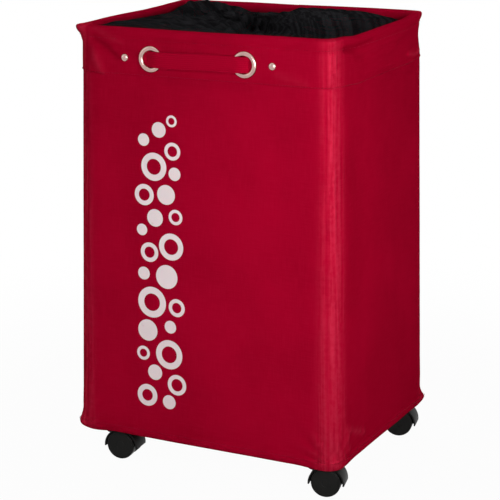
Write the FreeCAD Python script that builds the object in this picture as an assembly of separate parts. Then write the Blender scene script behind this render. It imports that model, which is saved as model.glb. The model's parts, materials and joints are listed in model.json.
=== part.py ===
"""Laundry bin on castors: a fabric bag hung on a tubular rim and four poles, over a board on castors.

Millimetres, +Z up. The origin is on the floor, under the middle of the bin.
The wide front faces -Y, and +X runs to the right along it.
"""
import FreeCAD, Part
import math
import os

from FreeCAD import Vector

# --- Overall sizes ---
rim_width = 372.0
rim_depth = 292.0
overall_height = 604.0
base_spread = 7.6            # each wall stands this much further out at the floor end
corner_radius = 25.0         # upright corners of the bag
skin_inset = 0.6             # the walls hang this far inside the hem's outer face

# --- Fabrics ---
wall_fabric = 1.6
hem_fabric = 1.6
sleeve_fabric = 1.2
cover_fabric = 1.2
net_fabric = 1.2
fabric_clearance = 0.3

# --- Rim ---
rim_tube_radius = 4.0
rim_tube_wall = 0.8
rim_plug_clearance = 0.1
rim_plug_length = 14.0
rim_arm_length = 3.0         # straight part of an elbow past its bend
hem_clearance = 0.2          # between a rim tube and its hem
hem_drop = 15.0              # rim top to the hem's lower edge

# --- Poles ---
pole_radius = 5.0
pole_wall = 1.0
pole_clearance = 0.05
holder_wall = 2.4            # plastic round each end of a pole
socket_height = 25.0
socket_floor = 2.0
boss_length = 21.0
boss_roof = 1.0              # plastic over a pole's end, under the elbow
boss_roof_gap = 7.4          # top of a boss to the hem over it
sleeve_end_gap = 1.5         # between a pole sleeve and the plastic above and below it

# --- Base ---
board_thickness = 5.0
piping_width = 3.0
piping_height = 2.0

# --- Net cover ---
net_edge_drop = 13.0         # rim top to the net's outer edge
net_rise = 6.0               # outer edge up to the mouth
mouth_width = 60.0
mouth_depth = 44.0
collar_thickness = 4.0
collar_inner_corner = 4.0
collar_below = 3.0
collar_above = 6.5

# --- Strap handles, front and back ---
handle_offset = -8.0         # middle of the strap from the middle of the wall
handle_drop = 38.0           # rim top to the strap's middle line
eyelet_span = 136.0
eyelet_hole_radius = 12.0
eyelet_flange_radius = 17.5
eyelet_flange_rise = 3.0
eyelet_barrel = 0.8
washer_radius = 17.0
washer_thickness = 1.0
rivet_span = 214.0
rivet_head_radius = 5.0
rivet_head_rise = 2.4
rivet_shank_radius = 2.0
rivet_tail_radius = 4.5
rivet_tail_thickness = 1.2
strap_height = 21.0
strap_thickness = 2.0
strap_clearance = 0.3
strap_tab = 7.0              # strap end past each rivet and each eyelet's middle
strap_lead = 3.5             # half the run of the strap through an eyelet

# --- Castors ---
stem_inset_x = 38.0          # side of the base to a castor's stem
stem_inset_y = 27.0          # front or back of the base to a castor's stem
wheel_radius = 20.0
wheel_width = 11.0
wheel_edge = 1.2
wheel_face = 2.0             # closed outer face of a wheel
wheel_gap = 0.5
axle_radius = 2.0
running_clearance = 0.05
trail = 16.0
web_thickness = 10.0
hood_side_gap = 2.5
hood_top_gap = 0.4
hood_wall = 2.0
hood_width = 30.0
hood_lip_drop = 4.0          # hood's lower tips below the axle
axle_boss_radius = 7.0
neck_radius = 6.0
swivel_gap = 0.8
pin_radius = 3.0
pin_depth = 12.0             # pin's lower end below the hood's crown
pin_head_radius = 4.4
pin_head_thickness = 1.0
pin_head_gap = 0.1
plate_size = 36.0
plate_corner = 4.0
plate_thickness = 2.0
plate_sleeve_wall = 2.15
plate_sleeve_rise = 5.0
plate_sleeve_clearance = 0.3
screw_spacing = 26.0
screw_radius = 1.6
screw_head_radius = 3.2
screw_length = 7.2
headings = {"front_left": 5.0, "front_right": 13.0, "back_right": 12.0, "back_left": 9.0}

# --- Worked-out levels ---
hood_inner_radius = wheel_radius + hood_side_gap
hood_centre_z = 2 * wheel_radius + hood_top_gap - hood_inner_radius
hood_outer_radius = hood_inner_radius + hood_wall
crown_z = hood_centre_z + hood_outer_radius
plate_bottom_z = crown_z + swivel_gap
plate_top_z = plate_bottom_z + plate_thickness
cover_bottom_z = plate_top_z
cover_top_z = cover_bottom_z + cover_fabric
board_top_z = cover_top_z + board_thickness
hem_inner_radius = rim_tube_radius + hem_clearance
hem_outer_radius = hem_inner_radius + hem_fabric
rim_tube_z = overall_height - hem_outer_radius
hem_corner_radius = corner_radius + skin_inset
rim_bend_radius = hem_corner_radius - hem_outer_radius
hem_bottom_z = overall_height - hem_drop
holder_radius = pole_radius + pole_clearance + holder_wall
boss_top_z = overall_height - hem_fabric - boss_roof_gap
boss_bottom_z = boss_top_z - boss_length
socket_top_z = board_top_z + socket_height
pole_bottom_z = board_top_z + socket_floor
pole_top_z = rim_tube_z - rim_tube_radius - boss_roof
pole_setback = corner_radius - wall_fabric - fabric_clearance - holder_radius
plate_sleeve_radius = pin_radius + running_clearance + plate_sleeve_wall
plate_sleeve_hole = plate_sleeve_radius + plate_sleeve_clearance

# Each side: the direction along it, and the direction out of it.
sides = {
    "front": (Vector(1, 0, 0), Vector(0, -1, 0)),
    "right": (Vector(0, 1, 0), Vector(1, 0, 0)),
    "back": (Vector(-1, 0, 0), Vector(0, 1, 0)),
    "left": (Vector(0, -1, 0), Vector(-1, 0, 0)),
}
corners = {"front_left": (-1, -1), "front_right": (1, -1), "back_right": (1, 1), "back_left": (-1, 1)}
x_axis = Vector(1, 0, 0)
y_axis = Vector(0, 1, 0)
z_axis = Vector(0, 0, 1)


# --- Small helpers ---

def save(name, shape):
    shape.exportStep("parts/" + name + ".step")


def flat_face(points):
    return Part.Face(Part.makePolygon(list(points) + [points[0]]))


def solid_between(first, second):
    """A flat-faced solid between two outlines with as many points each."""
    faces = [flat_face(first), flat_face(second)]
    for i in range(len(first)):
        faces.append(flat_face((first[i - 1], first[i], second[i], second[i - 1])))
    return Part.Solid(Part.Shell(faces))


def tube_between(start, end, radius):
    run = end - start
    return Part.makeCylinder(radius, run.Length, start, run)


def across(radius, width, x, z):
    """A cylinder lying along Y, centred on Y = 0."""
    return Part.makeCylinder(radius, width, Vector(x, -width / 2, z), y_axis)


def rounded_plate(half_x, half_y, radius, low_z, high_z):
    box = Part.makeBox(2 * half_x, 2 * half_y, high_z - low_z, Vector(-half_x, -half_y, low_z))
    upright = [edge for edge in box.Edges if abs(edge.tangentAt(edge.FirstParameter).z) > 0.9]
    return box.makeFillet(radius, upright)


def rounded_ring(half_x, half_y, radius, width, low_z, high_z):
    outer = rounded_plate(half_x, half_y, radius, low_z, high_z)
    return outer.cut(rounded_plate(half_x - width, half_y - width, radius - width, low_z, high_z))


def skin_half(z):
    """Half width and half depth over the bag's outer face at a height."""
    lean = base_spread * (overall_height - z) / (overall_height - plate_bottom_z)
    return rim_width / 2 - skin_inset + lean, rim_depth / 2 - skin_inset + lean


def side_halves(side, half_x, half_y):
    """(half length along the side, distance out to it)"""
    return (half_x, half_y) if side in ("front", "back") else (half_y, half_x)


def side_point(side, along, out, z):
    tangent, outward = sides[side]
    return tangent * along + outward * out + z_axis * z


# --- Walls ---

sleeve_inner_line = pole_setback - pole_radius - fabric_clearance   # from the corner arc's centre
sleeve_lap = corner_radius - (sleeve_inner_line - sleeve_fabric) * math.sqrt(2)


def wall_panel(side):
    outlines = []
    for z in (cover_top_z, hem_bottom_z):
        along, out = side_halves(side, *skin_half(z))
        reach = along - corner_radius - sleeve_lap
        outlines.append([
            side_point(side, -reach, out, z),
            side_point(side, reach, out, z),
            side_point(side, reach, out - wall_fabric, z),
            side_point(side, -reach, out - wall_fabric, z),
        ])
    return solid_between(*outlines)


def corner_frame(corner, z):
    """A function that turns sizes measured from the corner arc's centre into a point."""
    sign_x, sign_y = corners[corner]
    half_x, half_y = skin_half(z)
    centre_x = half_x - corner_radius
    centre_y = half_y - corner_radius
    return lambda x, y: Vector(sign_x * (centre_x + x), sign_y * (centre_y + y), z)


def corner_outline(corner, z):
    at = corner_frame(corner, z)
    outer = corner_radius
    inner = corner_radius - wall_fabric
    middle = math.sqrt(0.5)
    edges = [
        Part.LineSegment(at(-sleeve_lap, outer), at(0, outer)),
        Part.Arc(at(0, outer), at(outer * middle, outer * middle), at(outer, 0)),
        Part.LineSegment(at(outer, 0), at(outer, -sleeve_lap)),
        Part.LineSegment(at(outer, -sleeve_lap), at(inner, -sleeve_lap)),
        Part.LineSegment(at(inner, -sleeve_lap), at(inner, 0)),
        Part.Arc(at(inner, 0), at(inner * middle, inner * middle), at(0, inner)),
        Part.LineSegment(at(0, inner), at(-sleeve_lap, inner)),
        Part.LineSegment(at(-sleeve_lap, inner), at(-sleeve_lap, outer)),
    ]
    return Part.Wire([edge.toShape() for edge in edges])


def sleeve_strip_outline(corner, z):
    """The strip that closes a corner into a sleeve, square to the corner's diagonal."""
    at = corner_frame(corner, z)
    wall = corner_radius - wall_fabric
    far = sleeve_inner_line * math.sqrt(2)
    near = far - sleeve_fabric * math.sqrt(2)
    return [at(wall, near - wall), at(near - wall, wall), at(far - wall, wall), at(wall, far - wall)]


def pole_sleeve(corner):
    outlines = [corner_outline(corner, z) for z in (cover_top_z, hem_bottom_z)]
    skin = Part.makeLoft(outlines, True, True)
    strip_ends = (socket_top_z + sleeve_end_gap, boss_bottom_z - sleeve_end_gap)
    strip = solid_between(*[sleeve_strip_outline(corner, z) for z in strip_ends])
    return skin.fuse(strip).removeSplitter()


# --- Poles and what holds them ---

def pole_point(corner, z):
    inward = pole_setback * math.sqrt(0.5)
    return corner_frame(corner, z)(inward, inward)


def pole_length_of(corner, low_z, high_z, radius):
    return tube_between(pole_point(corner, low_z), pole_point(corner, high_z), radius)


def pole(corner):
    ends = (pole_bottom_z, pole_top_z)
    bore = pole_length_of(corner, *ends, pole_radius - pole_wall)
    return pole_length_of(corner, *ends, pole_radius).cut(bore)


def pole_socket(corner):
    """A cup on the board. It leans with its pole, so its foot is cut level with the board's top."""
    cup = pole_length_of(corner, cover_top_z, socket_top_z, holder_radius)
    board_side = Part.makeBox(2 * rim_width, 2 * rim_depth, board_top_z, Vector(-rim_width, -rim_depth, 0))
    bore = pole_length_of(corner, pole_bottom_z, socket_top_z + socket_floor, pole_radius + pole_clearance)
    return cup.cut(bore).cut(board_side)


def rim_connector(corner):
    """A corner piece: a bent elbow that plugs into two rim tubes, over a boss for the pole."""
    sign_x, sign_y = corners[corner]
    inset = hem_outer_radius + rim_bend_radius
    centre = Vector(sign_x * (rim_width / 2 - inset), sign_y * (rim_depth / 2 - inset), rim_tube_z)
    bend = Part.makeTorus(rim_bend_radius, rim_tube_radius, Vector(0, 0, 0), z_axis, -180, 180, 90)
    bend.rotate(Vector(0, 0, 0), z_axis, math.degrees(math.atan2(sign_y, sign_x)) - 45)
    bend.translate(centre)
    body = pole_length_of(corner, boss_bottom_z, boss_top_z, holder_radius).fuse(bend)
    plug_radius = rim_tube_radius - rim_tube_wall - rim_plug_clearance
    for outward, inward in (
        (y_axis * sign_y, x_axis * -sign_x),
        (x_axis * sign_x, y_axis * -sign_y),
    ):
        start = centre + outward * rim_bend_radius
        body = body.fuse(Part.makeCylinder(rim_tube_radius, rim_arm_length, start, inward))
        body = body.fuse(Part.makeCylinder(plug_radius, rim_arm_length + rim_plug_length, start, inward))
    bore = pole_length_of(corner, boss_bottom_z - boss_roof, pole_top_z, pole_radius + pole_clearance)
    return body.cut(bore).removeSplitter()


def boss_room(corner):
    """The room that a corner boss takes out of the fabric round it."""
    radius = holder_radius + fabric_clearance
    return pole_length_of(corner, boss_bottom_z - fabric_clearance, boss_top_z + fabric_clearance, radius)


def rim_tube(side):
    along, out = side_halves(side, rim_width / 2 - hem_outer_radius, rim_depth / 2 - hem_outer_radius)
    reach = along - rim_bend_radius - rim_arm_length
    ends = (side_point(side, -reach, out, rim_tube_z), side_point(side, reach, out, rim_tube_z))
    return tube_between(*ends, rim_tube_radius).cut(tube_between(*ends, rim_tube_radius - rim_tube_wall))


# --- Hem round the rim ---

def hem(side):
    """The casing sewn round a rim tube, open below, with half of each rounded corner."""
    along, out = side_halves(side, rim_width / 2, rim_depth / 2)
    reach = along - hem_corner_radius
    depth = 2 * hem_outer_radius

    def at(inward, z):
        return side_point(side, -reach, out - inward, z)

    top = overall_height
    edges = [
        Part.LineSegment(at(0, hem_bottom_z), at(0, rim_tube_z)),
        Part.Arc(at(0, rim_tube_z), at(hem_outer_radius, top), at(depth, rim_tube_z)),
        Part.LineSegment(at(depth, rim_tube_z), at(depth, hem_bottom_z)),
        Part.LineSegment(at(depth, hem_bottom_z), at(depth - hem_fabric, hem_bottom_z)),
        Part.LineSegment(at(depth - hem_fabric, hem_bottom_z), at(depth - hem_fabric, rim_tube_z)),
        Part.Arc(
            at(depth - hem_fabric, rim_tube_z),
            at(hem_outer_radius, top - hem_fabric),
            at(hem_fabric, rim_tube_z),
        ),
        Part.LineSegment(at(hem_fabric, rim_tube_z), at(hem_fabric, hem_bottom_z)),
        Part.LineSegment(at(hem_fabric, hem_bottom_z), at(0, hem_bottom_z)),
    ]
    section = Part.Face(Part.Wire([edge.toShape() for edge in edges]))
    run = sides[side][0] * (2 * reach)
    casing = section.extrude(run)
    for sign in (-1, 1):
        end = section.copy()
        end.translate(run * ((sign + 1) / 2))
        bend_centre = side_point(side, sign * reach, out - hem_corner_radius, 0)
        casing = casing.fuse(end.revolve(bend_centre, z_axis, 45 * sign))
    for corner in corners:
        if side in corner:
            casing = casing.cut(boss_room(corner))
    return casing.removeSplitter()


# --- Net cover ---

mouth_z = overall_height - net_edge_drop + net_rise


def net_gore(side):
    edge_z = overall_height - net_edge_drop
    depth = 2 * hem_outer_radius
    outer_along, outer_out = side_halves(side, rim_width / 2 - depth, rim_depth / 2 - depth)
    inner_along, inner_out = side_halves(side, mouth_width / 2, mouth_depth / 2)
    outlines = [
        [
            side_point(side, -along, out, z),
            side_point(side, along, out, z),
            side_point(side, along, out, z + net_fabric),
            side_point(side, -along, out, z + net_fabric),
        ]
        for along, out, z in ((outer_along, outer_out, edge_z), (inner_along, inner_out, mouth_z))
    ]
    gore = solid_between(*outlines)
    inside_hem = rounded_plate(
        rim_width / 2 - depth, rim_depth / 2 - depth, hem_corner_radius - depth, hem_bottom_z, overall_height
    )
    gore = gore.common(inside_hem)
    for corner in corners:
        if side in corner:
            gore = gore.cut(boss_room(corner))
    return gore


def net_collar():
    half_x = mouth_width / 2
    half_y = mouth_depth / 2
    return rounded_ring(
        half_x, half_y, collar_inner_corner + collar_thickness, collar_thickness,
        mouth_z - collar_below, mouth_z + collar_above,
    )


# --- Base ---

def stem_point(corner):
    sign_x, sign_y = corners[corner]
    half_x, half_y = skin_half(plate_bottom_z)
    return Vector(sign_x * (half_x - stem_inset_x), sign_y * (half_y - stem_inset_y), 0)


def screw_points(corner):
    stem = stem_point(corner)
    half = screw_spacing / 2
    return [stem + Vector(x, y, 0) for x in (-half, half) for y in (-half, half)]


def pierced(layer, low_z, high_z):
    """A layer of the base with its holes for the castors' sleeves and screws."""
    floor = z_axis * low_z
    screw_top_z = min(high_z, plate_bottom_z + screw_length)
    for corner in corners:
        layer = layer.cut(Part.makeCylinder(plate_sleeve_hole, high_z - low_z, stem_point(corner) + floor))
        for point in screw_points(corner):
            layer = layer.cut(Part.makeCylinder(screw_radius, screw_top_z - low_z, point + floor))
    return layer


def base_cover():
    half_x, half_y = skin_half(cover_bottom_z)
    sheet = rounded_plate(half_x, half_y, corner_radius, cover_bottom_z, cover_top_z)
    return pierced(sheet, cover_bottom_z, cover_top_z)


def base_board():
    half_x, half_y = skin_half(board_top_z)
    back_off = wall_fabric + fabric_clearance
    board = rounded_plate(
        half_x - back_off, half_y - back_off, corner_radius - back_off, cover_top_z, board_top_z
    )
    return pierced(board, cover_top_z, board_top_z)


def base_piping():
    half_x, half_y = skin_half(cover_bottom_z)
    low_z = cover_bottom_z - piping_height
    return rounded_ring(half_x, half_y, corner_radius, piping_width, low_z, cover_bottom_z)


# --- Strap handles ---
# Built flat against the plane Y = 0 with the bag's inside at +Y, then set on a wall.

strap_inner_y = wall_fabric + washer_thickness + strap_clearance
strap_outer_y = -(eyelet_flange_rise + strap_clearance)
strap_face_y = strap_outer_y - strap_thickness


def turned(points_and_arcs, x):
    """A solid turned about the line through x along Y, from edges in (radius, y)."""
    edges = []
    for piece in points_and_arcs:
        ends = [Vector(x + radius, y, 0) for radius, y in piece]
        edges.append(Part.Arc(*ends) if len(ends) == 3 else Part.LineSegment(*ends))
    face = Part.Face(Part.Wire([edge.toShape() for edge in edges]))
    return face.revolve(Vector(x, 0, 0), y_axis, 360)


def eyelet(x):
    hole = eyelet_hole_radius
    barrel = hole + eyelet_barrel
    flange = eyelet_flange_radius
    tail = wall_fabric + washer_thickness
    return turned([
        ((flange, 0), ((flange + hole) / 2, -eyelet_flange_rise), (hole, 0)),
        ((hole, 0), (hole, tail)),
        ((hole, tail), (barrel, tail)),
        ((barrel, tail), (barrel, 0)),
        ((barrel, 0), (flange, 0)),
    ], x)


def eyelet_washer(x):
    ring = Part.makeCylinder(washer_radius, washer_thickness, Vector(x, wall_fabric, 0), y_axis)
    hole = Part.makeCylinder(
        eyelet_hole_radius + eyelet_barrel, washer_thickness, Vector(x, wall_fabric, 0), y_axis
    )
    return ring.cut(hole)


def rivet(x):
    head = rivet_head_radius
    shank = rivet_shank_radius
    tail = rivet_tail_radius
    seat = strap_inner_y + strap_thickness
    end = seat + rivet_tail_thickness
    shoulder = (head * math.sqrt(0.5), -rivet_head_rise * math.sqrt(0.5))
    return turned([
        ((0, -rivet_head_rise), shoulder, (head, 0)),
        ((head, 0), (shank, 0)),
        ((shank, 0), (shank, seat)),
        ((shank, seat), (tail, seat)),
        ((tail, seat), (tail, end)),
        ((tail, end), (0, end)),
        ((0, end), (0, -rivet_head_rise)),
    ], x)


def strap_end(sign):
    """The strap from its rivet inside the wall out through an eyelet."""
    hole_x = eyelet_span / 2
    start = rivet_span / 2 + strap_tab
    half_wedge = strap_thickness / 4
    outline = [
        (start, strap_inner_y),
        (hole_x + strap_lead + half_wedge, strap_inner_y),
        (hole_x - strap_lead + half_wedge, strap_face_y),
        (hole_x - strap_tab, strap_face_y),
        (hole_x - strap_tab, strap_outer_y),
        (hole_x - strap_lead - half_wedge, strap_outer_y),
        (hole_x + strap_lead - half_wedge, strap_inner_y + strap_thickness),
        (start, strap_inner_y + strap_thickness),
    ]
    points = [Vector(sign * x, y, -strap_height / 2) for x, y in outline]
    solid = Part.Face(Part.makePolygon(points + points[:1])).extrude(z_axis * strap_height)
    rivet_place = Vector(sign * rivet_span / 2, 0, 0)
    return solid.cut(Part.makeCylinder(rivet_shank_radius, 4 * strap_thickness, rivet_place, y_axis))


def strap_grip():
    half = eyelet_span / 2 - strap_tab - strap_clearance
    corner = Vector(-half, strap_face_y, -strap_height / 2)
    return Part.makeBox(2 * half, strap_thickness, strap_height, corner)


def handle_holes():
    """What the eyelets and rivets take out of their wall, one cylinder for each."""
    sizes = ((eyelet_span, eyelet_hole_radius + eyelet_barrel), (rivet_span, rivet_shank_radius))
    return [
        Part.makeCylinder(radius, 3 * wall_fabric, Vector(sign * span / 2, -wall_fabric, 0), y_axis)
        for sign in (-1, 1)
        for span, radius in sizes
    ]


def on_wall(side, shape):
    """Moves a flat-built piece onto the front or back wall, leaning as the wall leans."""
    z = overall_height - handle_drop
    out = skin_half(z)[1]
    lean = math.degrees(math.atan2(base_spread, overall_height - plate_bottom_z))
    placed = shape.copy()
    placed.rotate(Vector(0, 0, 0), x_axis, -lean)
    placed.translate(Vector(handle_offset, -out, z))
    if side == "back":
        placed.rotate(Vector(0, 0, 0), z_axis, 180)
    return placed


# --- Castors ---
# Built round the swivel axis at X = Y = 0, with the wheels trailing towards +X.

def castor_hood():
    outer = across(hood_outer_radius, hood_width, trail, hood_centre_z)
    inner = across(hood_inner_radius, hood_width, trail, hood_centre_z)
    lip_z = wheel_radius - hood_lip_drop
    below_lip = Part.makeBox(
        4 * hood_outer_radius, 2 * hood_width, lip_z + hood_outer_radius,
        Vector(trail - 2 * hood_outer_radius, -hood_width, -hood_outer_radius),
    )
    shell = outer.cut(inner).cut(below_lip)
    web = across(hood_inner_radius, web_thickness, trail, hood_centre_z).cut(below_lip)
    web = web.fuse(across(axle_boss_radius, web_thickness, trail, wheel_radius))
    neck = Part.makeCylinder(neck_radius, crown_z - wheel_radius, Vector(0, 0, wheel_radius)).cut(inner)
    hood = shell.fuse(web).fuse(neck)
    pin_hole = Part.makeCylinder(pin_radius, pin_depth + swivel_gap, Vector(0, 0, crown_z - pin_depth))
    hood = hood.cut(pin_hole).cut(across(axle_radius, 2 * web_thickness, trail, wheel_radius))
    return hood.removeSplitter()


def wheel_bore_depth():
    return wheel_width - wheel_face


def castor_pins():
    """The wheels' axle and the swivel pin, two steel pins."""
    axle = across(axle_radius, web_thickness + 2 * wheel_bore_depth(), trail, wheel_radius)
    head_z = plate_top_z + plate_sleeve_rise + pin_head_gap
    low_z = crown_z - pin_depth
    pin = Part.makeCylinder(pin_radius, head_z - low_z, Vector(0, 0, low_z))
    head = Part.makeCylinder(pin_head_radius, pin_head_thickness, Vector(0, 0, head_z))
    return Part.makeCompound([axle, pin.fuse(head).removeSplitter()])


def castor_wheel(sign):
    near_y = web_thickness / 2 + wheel_gap
    wheel = Part.makeCylinder(wheel_radius, wheel_width, Vector(trail, near_y, wheel_radius), y_axis)
    rims = [edge for edge in wheel.Edges if isinstance(edge.Curve, Part.Circle)]
    wheel = wheel.makeFillet(wheel_edge, rims)
    bore = Part.makeCylinder(
        axle_radius + running_clearance, wheel_bore_depth(), Vector(trail, near_y, wheel_radius), y_axis
    )
    wheel = wheel.cut(bore)
    return wheel if sign > 0 else wheel.mirror(Vector(0, 0, 0), y_axis)


def castor_plate():
    half = plate_size / 2
    plate = rounded_plate(half, half, plate_corner, plate_bottom_z, plate_top_z)
    rise = plate_thickness + plate_sleeve_rise
    plate = plate.fuse(Part.makeCylinder(plate_sleeve_radius, rise, Vector(0, 0, plate_bottom_z)))
    plate = plate.cut(Part.makeCylinder(pin_radius + running_clearance, rise, Vector(0, 0, plate_bottom_z)))
    for x in (-screw_spacing / 2, screw_spacing / 2):
        for y in (-screw_spacing / 2, screw_spacing / 2):
            plate = plate.cut(countersunk_screw(Vector(x, y, 0)))
    return plate.removeSplitter()


def countersunk_screw(point):
    start = point + z_axis * plate_bottom_z
    shank = Part.makeCylinder(screw_radius, screw_length, start)
    head = Part.makeCone(screw_head_radius, screw_radius, screw_head_radius - screw_radius, start)
    return shank.fuse(head).removeSplitter()


def under_corner(corner, shape, turned_by):
    placed = shape.copy()
    placed.rotate(Vector(0, 0, 0), z_axis, turned_by)
    placed.translate(stem_point(corner))
    return placed


# --- Writing the pieces ---

def save_bag():
    for side in sides:
        panel = wall_panel(side)
        if side in ("front", "back"):
            for hole in handle_holes():
                panel = panel.cut(on_wall(side, hole))
        save("panel_" + side, panel)
        save("hem_" + side, hem(side))
        save("rim_tube_" + side, rim_tube(side))
    save("net_cover", Part.makeCompound([net_gore(side) for side in sides]))
    save("net_collar", net_collar())
    for corner in corners:
        save("pole_sleeve_" + corner, pole_sleeve(corner))
        save("pole_" + corner, pole(corner))
        save("rim_connector_" + corner, rim_connector(corner))
    save("pole_sockets", Part.makeCompound([pole_socket(corner) for corner in corners]))


def save_base():
    save("base_cover", base_cover())
    save("base_board", base_board())
    save("base_piping", base_piping())


def save_handles():
    eyelets = [eyelet(sign * eyelet_span / 2) for sign in (-1, 1)]
    washers = [eyelet_washer(sign * eyelet_span / 2) for sign in (-1, 1)]
    rivets = [rivet(sign * rivet_span / 2) for sign in (-1, 1)]
    for name, pair in (("eyelets", eyelets), ("eyelet_washers", washers), ("rivets", rivets)):
        placed = [on_wall(side, piece) for side in ("front", "back") for piece in pair]
        save(name, Part.makeCompound(placed))
    for side in ("front", "back"):
        ends = [on_wall(side, strap_end(sign)) for sign in (-1, 1)]
        save("strap_ends_" + side, Part.makeCompound(ends))
        save("strap_grip_" + side, on_wall(side, strap_grip()))


def save_castors():
    screws = []
    for corner, heading in headings.items():
        name = "castor_" + corner
        save(name + "_plate", under_corner(corner, castor_plate(), 0))
        save(name + "_hood", under_corner(corner, castor_hood(), heading))
        save(name + "_pins", under_corner(corner, castor_pins(), heading))
        save(name + "_wheel_front", under_corner(corner, castor_wheel(-1), heading))
        save(name + "_wheel_back", under_corner(corner, castor_wheel(1), heading))
        screws += [countersunk_screw(point) for point in screw_points(corner)]
    save("castor_screws", Part.makeCompound(screws))


os.makedirs("parts", exist_ok=True)
save_bag()
save_base()
save_handles()
save_castors()
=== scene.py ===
import bpy
import bmesh
import json
import math
from mathutils import Matrix, Vector, noise


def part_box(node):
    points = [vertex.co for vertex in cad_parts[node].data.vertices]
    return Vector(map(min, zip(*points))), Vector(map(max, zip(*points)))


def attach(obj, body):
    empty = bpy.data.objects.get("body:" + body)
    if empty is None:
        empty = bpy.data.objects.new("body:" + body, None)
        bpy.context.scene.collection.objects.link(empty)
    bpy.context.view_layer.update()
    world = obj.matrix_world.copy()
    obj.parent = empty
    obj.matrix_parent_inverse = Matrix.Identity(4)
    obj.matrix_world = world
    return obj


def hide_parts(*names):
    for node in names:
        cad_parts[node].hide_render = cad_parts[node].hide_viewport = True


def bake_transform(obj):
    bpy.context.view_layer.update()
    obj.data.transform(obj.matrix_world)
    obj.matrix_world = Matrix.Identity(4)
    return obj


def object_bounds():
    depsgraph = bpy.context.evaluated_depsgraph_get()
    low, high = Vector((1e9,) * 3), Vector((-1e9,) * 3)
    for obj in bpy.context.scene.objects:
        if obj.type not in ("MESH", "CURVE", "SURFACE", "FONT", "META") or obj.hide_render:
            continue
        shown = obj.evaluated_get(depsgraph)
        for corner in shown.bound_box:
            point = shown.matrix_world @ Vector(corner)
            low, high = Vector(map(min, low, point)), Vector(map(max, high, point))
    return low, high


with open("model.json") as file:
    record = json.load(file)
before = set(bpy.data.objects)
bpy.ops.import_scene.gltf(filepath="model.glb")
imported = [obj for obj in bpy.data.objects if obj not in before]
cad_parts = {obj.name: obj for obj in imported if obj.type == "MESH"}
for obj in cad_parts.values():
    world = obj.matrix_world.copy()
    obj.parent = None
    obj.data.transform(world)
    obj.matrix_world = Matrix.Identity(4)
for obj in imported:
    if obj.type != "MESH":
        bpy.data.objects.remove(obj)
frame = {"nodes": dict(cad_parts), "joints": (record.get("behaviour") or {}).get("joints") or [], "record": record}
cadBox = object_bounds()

nodes = frame["nodes"]
cornerNames = ["front_left", "front_right", "back_right", "back_left"]

studio = {
    "cameraPlace": (1.1031, -2.2004, 0.9559),
    "cameraTurn": 26.755,
    "cameraDown": 15.281,
    "cameraRoll": -0.09,
    "lens": 132.6,
    "floorGlow": 0.965,
    "glowFull": (0.35, 1.1),      # distances between which the floor comes to glow in full
    "worldLight": 0.11,
    # name, place, target, size, watts, spread in degrees
    "softboxes": [
        ("keyLight", (0.87, -0.72, 0.62), (0.17, -0.13, 0.43), (0.50, 0.75), 1.52, 60),
        ("frontLight", (0.52, -1.45, 0.80), (0.15, 0, 0.36), (0.45, 1.0), 5.8, 180),
        ("fillLight", (-2.3, -2.0, 1.3), (0, 0, 0.30), (1.2, 1.6), 4, 180),
        ("topLight", (-0.2, 0.5, 2.6), (0, 0, 0.5), (2.0, 2.0), 11, 180),
        ("backLight", (-1.9, 1.9, 1.1), (0, 0, 0.32), (1.2, 1.4), 26, 180),
    ],
}

bpy.ops.object.select_all(action="DESELECT")
facing = Matrix.Rotation(math.radians(studio["cameraTurn"]), 3, "Z")
facing = facing @ Matrix.Rotation(math.radians(90 - studio["cameraDown"]), 3, "X")
facing = facing @ Matrix.Rotation(math.radians(studio["cameraRoll"]), 3, "Z")
bpy.ops.object.camera_add(location=studio["cameraPlace"], rotation=facing.to_euler())
camera = bpy.context.object
camera.data.lens = studio["lens"]
camera.data.clip_end = 60
bpy.context.scene.camera = camera
bpy.context.scene.view_settings.view_transform = "Standard"

for name, place, target, size, watts, spread in studio["softboxes"]:
    aim = (Vector(target) - Vector(place)).to_track_quat("-Z", "Y").to_euler()
    bpy.ops.object.light_add(type="AREA", location=place, rotation=aim)
    lamp = bpy.context.object
    lamp.name = name
    lamp.data.shape = "RECTANGLE"
    lamp.data.size, lamp.data.size_y = size
    lamp.data.energy = watts
    lamp.data.spread = math.radians(spread)
    lamp.visible_camera = False


# The rim's outline.
rim = {
    "halfX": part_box("hem_right")[1].x,
    "halfY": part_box("hem_back")[1].y,
    "top": cadBox[1][2],
    "hemLow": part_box("hem_back")[0].z,
    "corner": 0.025,
    "tube": 0.0058,
}
arcLength = math.pi / 2 * rim["corner"]
wideRun = 2 * (rim["halfX"] - rim["corner"])
deepRun = 2 * (rim["halfY"] - rim["corner"])
# where the corners' middles come, going round from the middle of the back
cornerMiddles = [
    wideRun / 2 + arcLength / 2, wideRun / 2 + deepRun + 1.5 * arcLength,
    1.5 * wideRun + deepRun + 2.5 * arcLength, 1.5 * wideRun + 2 * deepRun + 3.5 * arcLength,
]


# A socket that does its own arithmetic with Math nodes.
class Signal:
    def __init__(self, nodes, socket):
        self.nodes = nodes
        self.socket = socket

    def __add__(self, other):
        return self.nodes.maths("ADD", self, other)

    __radd__ = __add__

    def __sub__(self, other):
        return self.nodes.maths("SUBTRACT", self, other)

    def __rsub__(self, other):
        return self.nodes.maths("SUBTRACT", other, self)

    def __mul__(self, other):
        return self.nodes.maths("MULTIPLY", self, other)

    __rmul__ = __mul__

    def __lt__(self, other):
        return self.nodes.maths("LESS_THAN", self, other)

    def __abs__(self):
        return self.nodes.maths("ABSOLUTE", self)


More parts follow.
